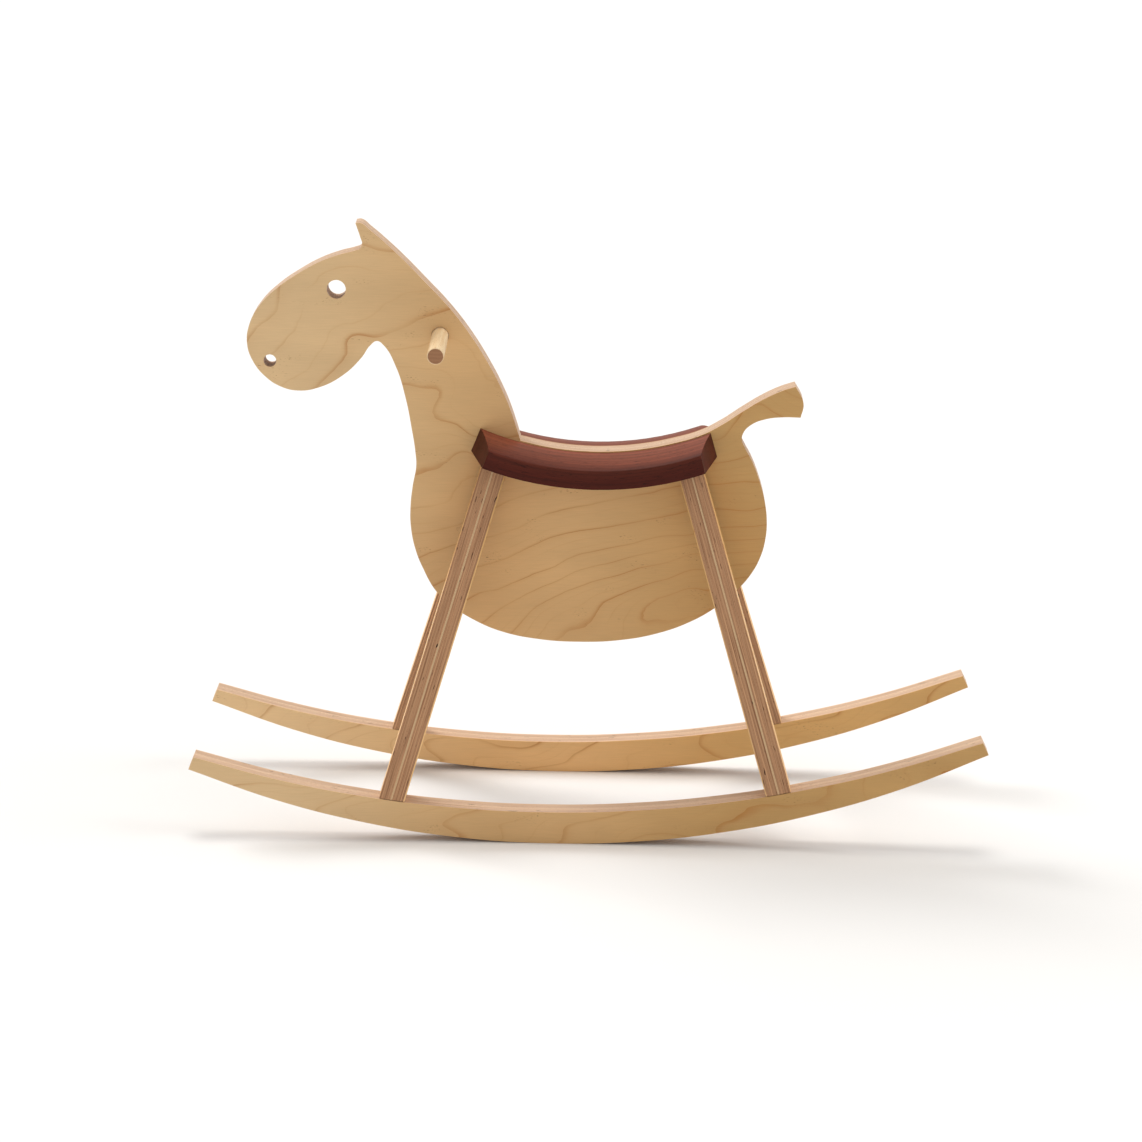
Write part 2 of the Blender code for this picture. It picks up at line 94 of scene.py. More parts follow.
# %% [markdown]
# ## Colours and nodes
# Colours are picked as hex values from a screen, which are sRGB. Blender's shaders add up light, so
# they need linear values. One function does that change. Another adds a node, sets it and links it,
# so that a material reads as a list of what happens to the surface.
# %% Helpers for materials
def linear(hex_colour):
    """An sRGB hex colour as linear red, green, blue and alpha."""
    parts = [int(hex_colour[i:i + 2], 16) / 255 for i in (1, 3, 5)]
    light = [v / 12.92 if v <= 0.04045 else ((v + 0.055) / 1.055) ** 2.4 for v in parts]
    return (*light, 1.0)


def add(tree, kind, inputs=(), out=0, **settings):
    """Add a node, set or link its inputs by number or name, and return one output.

    An input that is given a socket is linked, and one that is given a hex colour or a number is
    set. None leaves an input as it is.
    """
    node = tree.nodes.new("ShaderNode" + kind)
    for name, value in settings.items():
        setattr(node, name, value)
    pairs = inputs.items() if isinstance(inputs, dict) else enumerate(inputs)
    for name, value in pairs:
        if isinstance(value, bpy.types.NodeSocket):
            tree.links.new(value, node.inputs[name])
        elif value is not None:
            node.inputs[name].default_value = linear(value) if isinstance(value, str) else value
    return node.outputs[out]


def new_material(name):
    """A material, its node tree and the inputs of its Principled shader."""
    material = bpy.data.materials.new(name)
    material.use_nodes = True
    tree = material.node_tree
    return material, tree, tree.nodes["Principled BSDF"].inputs


print("mid grey #808080 is", round(linear("#808080")[0], 3), "in linear light")

# %% [markdown]
# ## Floor and studio light
# The horse stands on seamless white paper under three large softboxes. One hangs nearly overhead
# and draws the short shadow under each rocker. The strongest is high behind on the left and throws
# the faint long shadow to the front right. The third, on the right, lights the rear edges. They
# hang far off, so the light is the same all over the floor. A Sun lamp with a wide angle does just
# that. The white room fills the rest. The view Standard shows colours as they are mixed, so lit
# paper comes out plain white.
# %% Floor and light
FLOOR_SIDE = 400.0      # metres, past the edge of any view
PAPER, PAPER_ROUGHNESS, PAPER_SHEEN = "#E8E7E6", 0.9, 0.1
ROOM, ROOM_STRENGTH = "#FFFDFA", 0.5
SOFTBOXES = {           # the way the light travels, its width in degrees, its strength, its colour
    "overhead_softbox": ((0.06, -0.16, -1.0), 22.0, 1.0, "#FFFDF8"),
    "rear_left_softbox": ((0.85, -0.62, -0.85), 28.0, 1.8, "#FFFFFF"),
    "right_softbox": ((-0.9, 0.0, -0.6), 40.0, 1.0, "#FFFFFF"),
}


def add_floor():
    shape = bmesh.new()
    bmesh.ops.create_grid(shape, x_segments=1, y_segments=1, size=FLOOR_SIDE / 2)
    mesh = bpy.data.meshes.new("paper_floor")
    shape.to_mesh(mesh)
    shape.free()
    floor = bpy.data.objects.new("paper_floor", mesh)
    bpy.context.scene.collection.objects.link(floor)
    material, _, surface = new_material("matt_white_paper")
    surface["Base Color"].default_value = linear(PAPER)
    surface["Roughness"].default_value = PAPER_ROUGHNESS
    surface["Specular IOR Level"].default_value = PAPER_SHEEN
    mesh.materials.append(material)


def add_softbox(name, travels, width, strength, colour):
    data = bpy.data.lights.new(name, "SUN")
    data.angle = math.radians(width)
    data.energy = strength
    data.color = linear(colour)[:3]
    light = bpy.data.objects.new(name, data)
    bpy.context.scene.collection.objects.link(light)
    light.rotation_euler = Vector(travels).to_track_quat("-Z", "Y").to_euler()


def light_room():
    world = bpy.data.worlds.new("white_room")
    world.use_nodes = True
    background = world.node_tree.nodes["Background"].inputs
    background["Color"].default_value = linear(ROOM)
    background["Strength"].default_value = ROOM_STRENGTH
    bpy.context.scene.world = world
    view = bpy.context.scene.view_settings
    view.view_transform = "Standard"
    view.look = "None"


add_floor()
light_room()
for name, softbox in SOFTBOXES.items():
    add_softbox(name, *softbox)
print("softboxes:", ", ".join(SOFTBOXES))

# %% [markdown]
# ## Eased edges
# Every edge on a toy is sanded round, about a millimetre, so that no hand meets a sharp corner. A
# CAD node keeps its sharp edges and stays as it is, so each visible piece is a copy of its node's
# mesh. The copy is merged, its flat faces are joined, and its sharp edges are bevelled. Weighted
# normals then keep the flat faces looking flat beside the small round ones.
# %% Ease a copy of a CAD node
EDGE_ROUND = 0.9 * MM
EDGE_STEPS = 3
MERGE = 0.01 * MM
SHARP_ANGLE = math.radians(30)
FLAT_ANGLE = math.radians(0.2)
FLAT_FACE_WEIGHT = 100   # how far the flat faces outweigh the small round ones


def merged_copy(node):
    """A bmesh of a CAD node's surface, with loose triangles merged into whole faces."""
    shape = bmesh.new()
    shape.from_mesh(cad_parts[node].data)
    bmesh.ops.remove_doubles(shape, verts=shape.verts, dist=MERGE)
    bmesh.ops.dissolve_limit(shape, angle_limit=FLAT_ANGLE, verts=shape.verts, edges=shape.edges)
    return shape


def ease_edges(shape, width=EDGE_ROUND):
    sharp = [edge for edge in shape.edges
             if len(edge.link_faces) == 2 and edge.calc_face_angle() > SHARP_ANGLE]
    bmesh.ops.bevel(shape, geom=sharp, offset=width, offset_type="OFFSET", affect="EDGES",
                    segments=EDGE_STEPS, profile=0.5, material=-1, clamp_overlap=True)


def finish_piece(name, shape, node, material):
    """Make the piece, stand it in for its CAD node and give it its finish."""
    mesh = bpy.data.meshes.new(name)
    shape.to_mesh(mesh)
    shape.free()
    mesh.shade_smooth()
    mesh.materials.append(material)
    piece = bpy.data.objects.new(name, mesh)
    bpy.context.scene.collection.objects.link(piece)
    normals = piece.modifiers.new("flat_faces_stay_flat", "WEIGHTED_NORMAL")
    normals.weight = FLAT_FACE_WEIGHT
    normals.keep_sharp = False
    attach(piece, "root")
    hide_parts(node)
    print(f"{name}: {len(mesh.polygons)} faces")
    return piece


print("edges are rounded to", round(EDGE_ROUND / MM, 2), "mm")

# %% [markdown]
# ## Birch plywood, glued double
# All the flat pieces are cut from two 12 mm birch boards glued face to face. A board is nine
# veneers: a thin one on each face and seven thicker ones between, each turned across the last. On a
# cut edge, the veneers that run along the edge look pale and smooth, and those that end there look
# browner and rough. A thin pale pair of face veneers meets in the middle, at the glue.
#
# The pattern is solid: its colour depends on how deep a point lies in the boards, so it wraps round
# an eased edge as the real veneers do. A Mapping node turns each piece's own directions to X along
# the grain, Y across it and Z through the boards.
# %% Directions and grain
SHEET = 12.0 * MM
FACE_VENEER = 0.75 * MM
INNER_VENEERS = 7
INNER_VENEER = (SHEET - 2 * FACE_VENEER) / INNER_VENEERS

# A Mix node has one pair of sockets for numbers and another for colours.
FACTOR, FIRST_NUMBER, SECOND_NUMBER = 0, 2, 3
FIRST, SECOND, BLENDED = 6, 7, 2
COLOUR = {"out": BLENDED, "data_type": "RGBA"}
TINT = {**COLOUR, "blend_type": "MULTIPLY"}
# A Map Range node takes a value and the two that it goes between. Smooth, it gives nought to one.
SMOOTH = {"interpolation_type": "SMOOTHSTEP"}


def board_space(tree, centre, turn):
    """Object coordinates turned to the board's own directions about its centre."""
    turned = Matrix.Rotation(turn[1], 3, "Y") @ Matrix.Rotation(turn[0], 3, "X")
    place = add(tree, "TexCoord", out="Object")
    return add(tree, "Mapping", {"Vector": place, "Location": -(turned @ Vector(centre)),
                                 "Rotation": (turn[0], turn[1], 0.0)})


def grain(tree, vector, size_mm, detail, seed):
    """Noise with grains of that size in millimetres: along, across and through.

    The seed slides the pattern, so that pieces and patterns with different seeds don't repeat.
    """
    scaled = add(tree, "Mapping", {"Vector": vector, "Scale": [1 / (v * MM) for v in size_mm],
                                   "Location": (seed, seed, seed)})
    return add(tree, "TexNoise", {"Vector": scaled, "Scale": 1.0, "Detail": detail})


print("inner veneers are", round(INNER_VENEER / MM, 2), "mm thick")

# %% [markdown]
# ### The cut edge
# Each veneer gets a tone of its own. One that ends at the cut shows the open ends of its fibres, so
# it is darker and speckled. One that runs along the cut shows long streaks. Which is which depends
# on the way the cut faces. The glue between veneers is a fine darker line, drawn a little wider
# than it is so that it shows. Here and there an inner veneer has a gap, a short dark slot. The
# legs' veneers are drawn browner than those of the board and the rockers.
# %% Colours of the cut edge
BOARD_EDGE = {"along": "#DFC1A3", "ends": "#D3B195", "streak": "#B28B70", "glue": "#B08768",
              "pale": "#EBD3B4"}
LEG_EDGE = {"along": "#CB9D75", "ends": "#C3936D", "streak": "#855A3E", "glue": "#A27454",
            "pale": "#E2C499"}
EDGE_GAP = "#2C1810"
VENEER_TONES = (0.84, 1.09)             # darkest and lightest veneer
STREAK_SIZE, STREAK_RANGE = (60.0, 60.0, 0.45), (0.42, 0.75)    # mm, and the noise that shows
SPECKLE_SIZE, SPECKLE_RANGE = (0.9, 0.9, 0.5), (0.5, 0.8)       # coarser than open fibre ends
GAP_SIZE, GAP_RANGE = (9.0, 9.0, 1.1), (0.77, 0.8)
GLUE_SHARE = 0.09                       # of a veneer's thickness, each side
CENTRE_GLUE = (0.2 * MM, 0.1 * MM)      # from its edge to its full tone
CENTRE_PAIR = (FACE_VENEER * 1.05, FACE_VENEER * 0.8)
SHEET_STEP = 20.0                       # keeps the two boards' random numbers apart


def cut_edge(tree, vector, faces_along, seed, tones):
    """Colour of the stack of veneers where the boards are cut."""
    depth = add(tree, "SeparateXYZ", (vector,), out="Z")
    middle = add(tree, "Math", (depth,), operation="ABSOLUTE")
    inner = add(tree, "Math", (middle, FACE_VENEER), operation="SUBTRACT")
    count = add(tree, "Math", (inner, INNER_VENEER), operation="DIVIDE")
    number = add(tree, "Math", (count,), operation="FLOOR")
    lengthwise = add(tree, "Math", (number, 2.0), operation="FLOORED_MODULO")
    sheet = add(tree, "Math", (depth,), operation="SIGN")
    own = add(tree, "Math", (sheet, SHEET_STEP + seed, number), operation="MULTIPLY_ADD")
    tone = add(tree, "TexWhiteNoise", {"W": own}, noise_dimensions="1D")

    across = add(tree, "Math", (1.0, faces_along), operation="SUBTRACT")
    ends = add(tree, "Mix", {FACTOR: lengthwise, FIRST_NUMBER: across,
                             SECOND_NUMBER: faces_along}, data_type="FLOAT")
    wood = add(tree, "Mix", {FACTOR: ends, FIRST: tones["along"], SECOND: tones["ends"]}, **COLOUR)

    streaks = grain(tree, vector, STREAK_SIZE, 3.0, seed)
    streaks = add(tree, "MapRange", (streaks, *STREAK_RANGE), **SMOOTH)
    wood = add(tree, "Mix", {FACTOR: streaks, FIRST: wood, SECOND: tones["streak"]}, **COLOUR)
    speckle = grain(tree, vector, SPECKLE_SIZE, 2.0, seed + 3.0)
    speckle = add(tree, "MapRange", (speckle, *SPECKLE_RANGE), **SMOOTH)
    rough_ends = add(tree, "Math", (speckle, ends), operation="MULTIPLY")
    wood = add(tree, "Mix", {FACTOR: rough_ends, FIRST: wood, SECOND: tones["streak"]}, **COLOUR)
    brightness = add(tree, "MapRange", (tone, 0.0, 1.0, *VENEER_TONES))
    wood = add(tree, "Mix", {FACTOR: 1.0, FIRST: wood, SECOND: brightness}, **TINT)

    from_glue = add(tree, "Math", (count, 0.5), operation="PINGPONG")
    glue = add(tree, "MapRange", (from_glue, GLUE_SHARE, 0.0), **SMOOTH)
    wood = add(tree, "Mix", {FACTOR: glue, FIRST: wood, SECOND: tones["glue"]}, **COLOUR)
    gaps = grain(tree, vector, GAP_SIZE, 0.0, seed + 9.0)
    gaps = add(tree, "MapRange", (gaps, *GAP_RANGE), **SMOOTH)
    crosswise = add(tree, "Math", (1.0, lengthwise), operation="SUBTRACT")
    gaps = add(tree, "Math", (gaps, crosswise), operation="MULTIPLY")
    wood = add(tree, "Mix", {FACTOR: gaps, FIRST: wood, SECOND: EDGE_GAP}, **COLOUR)

    centre_pair = add(tree, "MapRange", (middle, *CENTRE_PAIR), **SMOOTH)
    wood = add(tree, "Mix", {FACTOR: centre_pair, FIRST: wood, SECOND: tones["pale"]}, **COLOUR)
    centre_glue = add(tree, "MapRange", (middle, *CENTRE_GLUE), **SMOOTH)
    wood = add(tree, "Mix", {FACTOR: centre_glue, FIRST: wood, SECOND: tones["glue"]}, **COLOUR)
    return wood, middle


print("a board of nine veneers shows", INNER_VENEERS + 2, "bands; two boards show twice that")

# %% [markdown]
# ### The face veneer
# The face is one thin sheet peeled from a turning log. The peel cuts through the growth layers at a
# low angle, so their lines wander over the face like the contour lines of a map. Each line is sharp
# on one side, where a winter stopped the growth, and fades on the other.
#
# A number called growth counts the layers at each point, and a line is drawn wherever it passes a
# whole number. The sheet is drawn paler at the horse's front and warmer and darker towards its back:
# partly its own change of tone, and partly painted shade where the light falls off towards the back.
# Fine fibres, short flecks and slow changes of tone go over that.
# %% Colours of the face
# The front-to-back change of tone is partly the sheet's own and partly painted shade, as the light
# falls off towards the back.
FACE_PALE, FACE_MID, FACE_WARM_AND_SHADED = "#DFBE90", "#D9B07B", "#CBA167"
PALE_TO_MID = (-0.30, -0.08)    # metres along the board
MID_TO_WARM_AND_SHADED = (-0.04, 0.15)
FACE_LINE, FACE_FLECK = "#B4722F", "#94683F"
SLOW_SIZE, SLOW_TONES = (110.0, 40.0, 40.0), (0.95, 1.05)   # mm, darkest and lightest
FIBRE_SIZE, FIBRE_TONES = (22.0, 0.7, 0.7), (0.965, 1.035)  # coarser than real, to show
PATCH_SIZE, PATCH_RANGE = (40.0, 18.0, 18.0), (0.6, 0.74)   # where flecks gather
FLECK_SIZE, FLECK_RANGE = (3.2, 0.7, 0.7), (0.64, 0.74)
NOISE_LOW, NOISE_MIDDLE, NOISE_HIGH = 0.3, 0.5, 0.7     # where nearly all of a noise lies
LINE_SHAPE = ((0.0, 1.0), (0.03, 0.7), (0.065, 0.18), (0.12, 0.0), (0.8, 0.0), (1.0, 0.16))
# Lines in each layer, and how dark they are where they are faintest and where strongest.
LINES = ((1.0, 0.18, 0.72), (3.0, 0.0, 0.25))
WOBBLE_SIZE, WOBBLE = (26.0, 13.0, 13.0), 0.1   # mm, and share of a layer
STRENGTH_SIZE = (60.0, 40.0, 40.0)
# On a narrow piece, growth climbs by so many layers in each metre along it and across it. A noise
# of so many millimetres and so many layers bends the lines.
LAYER_SLOPE = (8.0, 16.0, 0.0)
LAYER_SIZE, LAYER_NOISE = (160.0, 60.0, 60.0), 3.0


def growth_lines(tree, growth, vector, seed):
    """How dark the growth line is at a point."""
    wobble = grain(tree, vector, WOBBLE_SIZE, 1.0, seed)
    wobble = add(tree, "Math", (wobble, NOISE_MIDDLE), operation="SUBTRACT")
    height = add(tree, "Math", (wobble, WOBBLE, growth), operation="MULTIPLY_ADD")
    dark = 0.0
    for layers, faintest, strongest in LINES:
        ring = add(tree, "Math", (height, layers), operation="MULTIPLY")
        ring = add(tree, "Math", (ring,), operation="FRACT")
        line = add(tree, "ValToRGB", (ring,))
        stops = line.node.color_ramp.elements
        while len(stops) < len(LINE_SHAPE):
            stops.new(0.5)      # its real place is set below
        for stop, (place, shade) in zip(stops, LINE_SHAPE):
            stop.position = place
            stop.color = (shade, shade, shade, 1.0)
        strength = grain(tree, vector, STRENGTH_SIZE, 1.0, seed + layers)
        strength = add(tree, "MapRange", (strength, NOISE_LOW, NOISE_HIGH, faintest, strongest))
        line = add(tree, "Math", (line, strength), operation="MULTIPLY")
        dark = add(tree, "Math", (dark, line), operation="MAXIMUM")
    return dark


def face_veneer(tree, vector, growth, seed, lightness):
    """Colour of the face, and the height of its fibres."""
    along = add(tree, "SeparateXYZ", (vector,), out="X")
    # Paler at the front, warmer and darker towards the back: partly the sheet's own tone, partly
    # painted shade.
    mid = add(tree, "MapRange", (along, *PALE_TO_MID), **SMOOTH)
    wood = add(tree, "Mix", {FACTOR: mid, FIRST: FACE_PALE, SECOND: FACE_MID}, **COLOUR)
    warm = add(tree, "MapRange", (along, *MID_TO_WARM_AND_SHADED), **SMOOTH)
    wood = add(tree, "Mix", {FACTOR: warm, FIRST: wood, SECOND: FACE_WARM_AND_SHADED}, **COLOUR)
    slow = grain(tree, vector, SLOW_SIZE, 2.0, seed)
    slow = add(tree, "MapRange", (slow, NOISE_LOW, NOISE_HIGH,
                                  *(tone * lightness for tone in SLOW_TONES)))
    wood = add(tree, "Mix", {FACTOR: 1.0, FIRST: wood, SECOND: slow}, **TINT)
    lines = growth_lines(tree, growth, vector, seed)
    wood = add(tree, "Mix", {FACTOR: lines, FIRST: wood, SECOND: FACE_LINE}, **COLOUR)
    fibres = grain(tree, vector, FIBRE_SIZE, 3.0, seed)
    bright = add(tree, "MapRange", (fibres, NOISE_LOW, NOISE_HIGH, *FIBRE_TONES))
    wood = add(tree, "Mix", {FACTOR: 1.0, FIRST: wood, SECOND: bright}, **TINT)
    patches = grain(tree, vector, PATCH_SIZE, 1.0, seed + 7.0)
    patches = add(tree, "MapRange", (patches, *PATCH_RANGE), **SMOOTH)
    flecks = grain(tree, vector, FLECK_SIZE, 1.0, seed + 8.0)
    flecks = add(tree, "MapRange", (flecks, *FLECK_RANGE), **SMOOTH)
    flecks = add(tree, "Math", (flecks, patches), operation="MULTIPLY")
    wood = add(tree, "Mix", {FACTOR: flecks, FIRST: wood, SECOND: FACE_FLECK}, **COLOUR)
    return wood, fibres


TURNS_TO_END = (0.3, 0.9)       # how far the cut faces along the board: lengthwise, then an end
FACE_STARTS = (SHEET - FACE_VENEER, SHEET - FACE_VENEER * 0.8)
LACQUER_ROUGHNESS, LACQUER_SHEEN = (0.46, 0.62), 0.25
FIBRE_HEIGHT, FIBRE_RELIEF = 0.1 * MM, 0.12     # how high the fibres stand, and how much of it


def birch_plywood(name, centre, turn, seed, tones, growth_name=None, cut_all_round=False,
                  lightness=1.0):
    """Doubled birch plywood under a clear matt lacquer: pale, warm, fine and nearly dull.

    A piece reads its growth heights from an attribute, or makes up its own. A curved piece is cut
    all round, so which veneers end at the cut changes along it.
    """
    material, tree, surface = new_material(name)
    vector = board_space(tree, centre, turn)
    if growth_name:
        growth = add(tree, "Attribute", out="Fac", attribute_name=growth_name)
    else:
        slope = add(tree, "VectorMath", (vector, LAYER_SLOPE), out="Value",
                    operation="DOT_PRODUCT")
        growth = grain(tree, vector, LAYER_SIZE, 1.0, seed)
        growth = add(tree, "Math", (growth, LAYER_NOISE, slope), operation="MULTIPLY_ADD")
    faces_along = 0.0
    if cut_all_round:
        facing = add(tree, "SeparateXYZ", (add(tree, "TexCoord", out="Normal"),), out="X")
        facing = add(tree, "Math", (facing,), operation="ABSOLUTE")
        faces_along = add(tree, "MapRange", (facing, *TURNS_TO_END), **SMOOTH)
    edge, middle = cut_edge(tree, vector, faces_along, seed, tones)
    face, fibres = face_veneer(tree, vector, growth, seed, lightness)
    on_face = add(tree, "MapRange", (middle, *FACE_STARTS), **SMOOTH)
    wood = add(tree, "Mix", {FACTOR: on_face, FIRST: edge, SECOND: face}, **COLOUR)
    tree.links.new(wood, surface["Base Color"])
    rough = add(tree, "MapRange", (fibres, 0.0, 1.0, *LACQUER_ROUGHNESS))
    tree.links.new(rough, surface["Roughness"])
    surface["Specular IOR Level"].default_value = LACQUER_SHEEN
    bump = add(tree, "Bump", {"Height": fibres, "Strength": FIBRE_RELIEF,
                              "Distance": FIBRE_HEIGHT})
    tree.links.new(bump, surface["Normal"])
    return material


print("a growth line fades over", round(1 - LINE_SHAPE[-2][0], 2), "of a layer")

# %% [markdown]
# ## The shaped board
# The horse's outline is sawn from the doubled board. Its face is the largest surface of all, and
# its growth lines give it its look: nested loops low on the belly, long lines that climb to the
# rear, and a few wandering ones on the neck and head.
#
# The heights of the growth layers are given at about a hundred points of the face. A thin-plate
# spline, the shape that a springy sheet takes when it is held at those points, gives the height
# everywhere else. The face is first sliced into small squares, so that the height can be stored on
# them as an attribute, which the material reads.
# %% Growth heights and the shaped board
GROWTH = {   # layer: points in millimetres, x and z
    0.0: [(139, 213)],
    0.45: [(96, 207)],
    1: [(50, 196), (54, 205), (65, 213), (86, 221), (62, 193), (96, 197), (119, 206)],
    2: [(3, 189), (7, 201), (16, 210), (30, 217), (52, 226), (74, 233), (109, 243)],
    3: [(-62, 192), (-55, 201), (-42, 209), (-25, 218), (8, 231), (47, 244), (95, 258),
        (-73, 179)],
    4: [(-98, 191), (-86, 201), (-68, 212), (-44, 224), (-16, 238), (18, 248), (56, 259),
        (101, 269)],
    5: [(-124, 205), (-107, 215), (-88, 220), (-64, 231), (-35, 243), (-2, 258), (37, 267),
        (94, 277), (147, 286)],
    6: [(-146, 225), (-107, 242), (-83, 250), (-64, 260), (-40, 272), (-12, 279), (27, 286),
        (93, 302), (151, 302)],
    7: [(-155, 255), (-127, 265), (-98, 272), (-69, 282), (-45, 295), (-12, 303), (26, 312),
        (93, 327), (141, 330)],
    8: [(-156, 275), (-127, 283), (-89, 302), (-70, 312), (-43, 319), (135, 352)],
    9: [(-161, 335), (-139, 345), (-120, 356), (-70, 339), (120, 372), (158, 407)],
    9.65: [(-174, 394), (-160, 372)],
    10: [(-181, 420), (-164, 417), (-146, 411), (-152, 388), (-132, 382), (-114, 370), (186, 417)],
    10.35: [(-161, 436), (-137, 402)],
    10.5: [(-128, 435)],
    10.6: [(-139, 461), (-90, 407)],
    10.7: [(-221, 451)],
    11: [(-244, 437), (-235, 450), (-231, 466), (-209, 466), (-188, 472), (-158, 486),
         (-137, 493)],
    11.35: [(-230, 479)],
    11.4: [(-280, 433), (-185, 512)],
    11.5: [(-242, 511)],
    11.6: [(-270, 491)],
    12: [(-220, 554), (-209, 550), (-192, 548), (-298, 512), (-301, 492), (-318, 474)],
    12.4: [(-325, 490), (-218, 570)],
}
SLICE = 5.0 * MM
STIFFNESS = 0.3         # evens out small errors between points
NO_DISTANCE = 1e-9      # square millimetres, in place of nought inside a logarithm
UPRIGHT = (math.radians(90), 0.0)   # turns a board that stands on edge, as the material needs
BOARD_SEED = 2.0


def spline_kernel(squared):
    """The sheet's deflection at a squared distance from a load."""
    return squared * np.log(np.maximum(squared, NO_DISTANCE)) / 2


def growth_surface():
    """A function from points to growth heights, close to the given ones."""
    held = np.array([point for points in GROWTH.values() for point in points], dtype=float)
    heights = np.array([layer for layer, points in GROWTH.items() for _ in points])
    apart = ((held[:, None] - held[None]) ** 2).sum(2)
    flat = np.hstack([np.ones((len(held), 1)), held])
    system = np.block([[spline_kernel(apart) + STIFFNESS * np.eye(len(held)), flat],
                       [flat.T, np.zeros((3, 3))]])
    loads = np.linalg.solve(system, np.concatenate([heights, np.zeros(3)]))

    def height(points):
        squared = ((points[:, None] - held[None]) ** 2).sum(2)
        return (spline_kernel(squared) @ loads[:-3]
                + np.hstack([np.ones((len(points), 1)), points]) @ loads[-3:])
    return height


def slice_up(shape, low, high):
    """Cut the board through, both ways, so that its faces hold small squares."""
    for axis in (0, 2):
        normal = Vector((axis == 0, 0, axis == 2))
        cuts = int((high[axis] - low[axis]) / SLICE)
        for cut in range(1, cuts + 1):
            point = normal * (low[axis] + cut * SLICE)
            geometry = shape.verts[:] + shape.edges[:] + shape.faces[:]
            bmesh.ops.bisect_plane(shape, geom=geometry, dist=MERGE, plane_co=point,
                                   plane_no=normal)


def make_shaped_board():
    shape = merged_copy("body_board")
    ease_edges(shape)
    slice_up(shape, *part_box("body_board"))
    material = birch_plywood("birch_plywood_board", (0.0, 0.0, 0.0), UPRIGHT, BOARD_SEED,
                             BOARD_EDGE, growth_name="growth", cut_all_round=True)
    board = finish_piece("shaped_board", shape, "body_board", material)
    places = np.array([(vert.co.x, vert.co.z) for vert in board.data.vertices]) / MM
    heights = growth_surface()(places)
    attribute = board.data.attributes.new("growth", "FLOAT", "POINT")
    attribute.data.foreach_set("value", heights.astype(np.float32))
    return heights


heights = make_shaped_board()
print("growth layers on the board:", round(float(heights.min()), 1), "to",
      round(float(heights.max()), 1))

# %% [markdown]
# ## The rockers
# The rockers are sawn from the same doubled board, with the veneers standing upright, so their top
# and rolling edges show the plies.
# %% Rockers
ROCKER_SEEDS = {"left": 11.0, "right": 17.0}
ROCKER_LIGHTNESS = {"left": 1.0, "right": 1.18}   # the right one drawn paler


def middle_of(node):
    low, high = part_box(node)
    return (low + high) / 2


for side in SIDES:
    rocker = "rocker_" + side
    shape = merged_copy(rocker)
    ease_edges(shape)
    material = birch_plywood("birch_plywood_" + rocker, middle_of(rocker), UPRIGHT,
                             ROCKER_SEEDS[side], BOARD_EDGE, cut_all_round=True,
                             lightness=ROCKER_LIGHTNESS[side])
    finish_piece(rocker + "_runner", shape, rocker, material)

# %% [markdown]
# ## The legs
# A leg is a stick sawn from the doubled board and turned on its side, so its two cut sides, with
# all the veneers running down them, face outwards and inwards. Its front and back are the board's
# own faces and show as thin pale strips. The veneers stack across the leg, so the pattern has to be
# turned by the leg's lean, which is measured from the leg's front face.
# %% Legs
LEG_LIGHTNESS = 1.2     # the legs' face veneers are drawn paler
SQUARE_TO_Y = 0.01      # how little the front face may turn towards the horse's side
LEG_SEEDS = {"front_left": 23.0, "rear_left": 31.0, "front_right": 37.0, "rear_right": 43.0}


def lean_of(shape):
    """How far a leg leans forwards or back, from its largest face that runs across the horse."""
    across = [face for face in shape.faces if abs(face.normal.y) < SQUARE_TO_Y]
    normal = max(across, key=lambda face: face.calc_area()).normal
    forwards = math.copysign(1.0, normal.x)     # the face may look forwards or back
    return math.atan2(-normal.z * forwards, normal.x * forwards)


for name, seed in LEG_SEEDS.items():
    leg = "leg_" + name
    shape = merged_copy(leg)
    lean = lean_of(shape)
    ease_edges(shape)
    material = birch_plywood("leg_plywood_" + name, middle_of(leg),
                             (0.0, math.radians(90) - lean), seed, LEG_EDGE,
                             lightness=LEG_LIGHTNESS)
    finish_piece(leg + "_post", shape, leg, material)
    print(f"{leg} leans {math.degrees(lean):.1f} degrees")

# %% [markdown]
# ## The seat
# The two seat halves are solid walnut, sawn to an arc, crowned and sanded, then oiled. Oiled walnut
# is a deep red brown with darker streaks and short open pores, and it has a soft sheen. Its crown is
# painted lighter than its sides and ends, as painted light and sheen where the top faces up to the
# lamps. The grain follows the seat, so the pattern is bent: a point's place is given by how far
# round the arc it lies, how far out, and how far from the arc's centre.
# %% Walnut seat
SADDLE_CENTRE = (30.5, 0.0, 644.5)   # mm, with the horse level
SADDLE_RADIUS = 300.0 * MM           # in the middle of the wood
# The crown colour is painted light: the top is drawn lighter where it faces up to the lamps.
WALNUT_SIDE, WALNUT_PAINTED_LIT_CROWN, WALNUT_PORE = "#4A1A10", "#844632", "#2A0D07"
# The painted light fades over the crown and down the side. A point's place on that path is how far
# it lies from the horse's middle plus how far from the arc's centre: dark at the first, light at the
# next.
PAINTED_LIGHT_FADE = (368.0 * MM, 316.0 * MM)
END_CUT = (0.8, 0.5)                 # how far it faces along the horse: a sawn end, then none
BAND_SIZE, BAND_TONES = (420.0, 14.0, 12.0), (0.78, 1.15)       # mm, darkest and lightest
DARK_STREAK_SIZE, DARK_STREAK_TONES = (260.0, 3.5, 3.0), (0.76, 1.22)
WALNUT_FIBRE_SIZE, WALNUT_FIBRE_TONES = (30.0, 0.6, 0.6), (0.82, 1.16)
PORE_SIZE, PORE_RANGE = (7.0, 0.55, 0.55), (0.64, 0.72)         # coarser than real, to show
OIL_ROUGHNESS, OIL_SHEEN = (0.4, 0.56), 0.14


